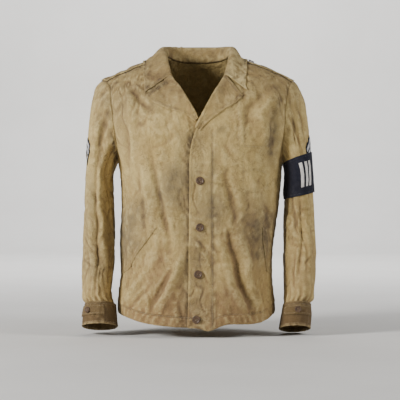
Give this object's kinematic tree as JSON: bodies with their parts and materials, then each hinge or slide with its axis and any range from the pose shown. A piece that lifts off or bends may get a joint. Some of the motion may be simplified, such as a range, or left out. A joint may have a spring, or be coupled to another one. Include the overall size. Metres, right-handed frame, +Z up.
{
  "type": "field jacket",
  "caption": "Worn khaki cotton field jacket with open lapels, shoulder straps, slanted pockets, buttoned cuffs, sleeve patches and a dark armband, hollow as when worn.",
  "frame": {"origin": "middle of the neck opening, level with the collar seam, where the neck and shoulders hold the jacket up", "axes": "+Z up, -Y the way the wearer faces, +X the wearer's left"},
  "size_m": [0.5811, 0.2895, 0.723],
  "materials": {
    "shell": "worn, faded cotton poplin",
    "cuff_cloth": "soiled cotton poplin",
    "band_cloth": "dark woollen cloth",
    "buttons": "dull, scuffed"
  },
  "bodies": {
    "root": {"armband": "band_cloth", "back": "shell", "chevron_left": "band_cloth", "chevron_right": "band_cloth", "collar": "shell", "cuff_button_left": "buttons", "cuff_button_right": "buttons", "cuff_left": "cuff_cloth", "cuff_right": "cuff_cloth", "cuff_tab_left": "cuff_cloth", "cuff_tab_right": "cuff_cloth", "front_button_1": "buttons", "front_button_2": "buttons", "front_button_3": "buttons", "front_button_4": "buttons", "front_left": "shell", "front_right": "shell", "lapel_left": "shell", "lapel_right": "shell", "pocket_welt_left": "shell", "pocket_welt_right": "shell", "sleeve_left": "shell", "sleeve_right": "shell", "strap_button": "buttons", "strap_left": "shell", "strap_right": "shell"}
  },
  "joints": []
}
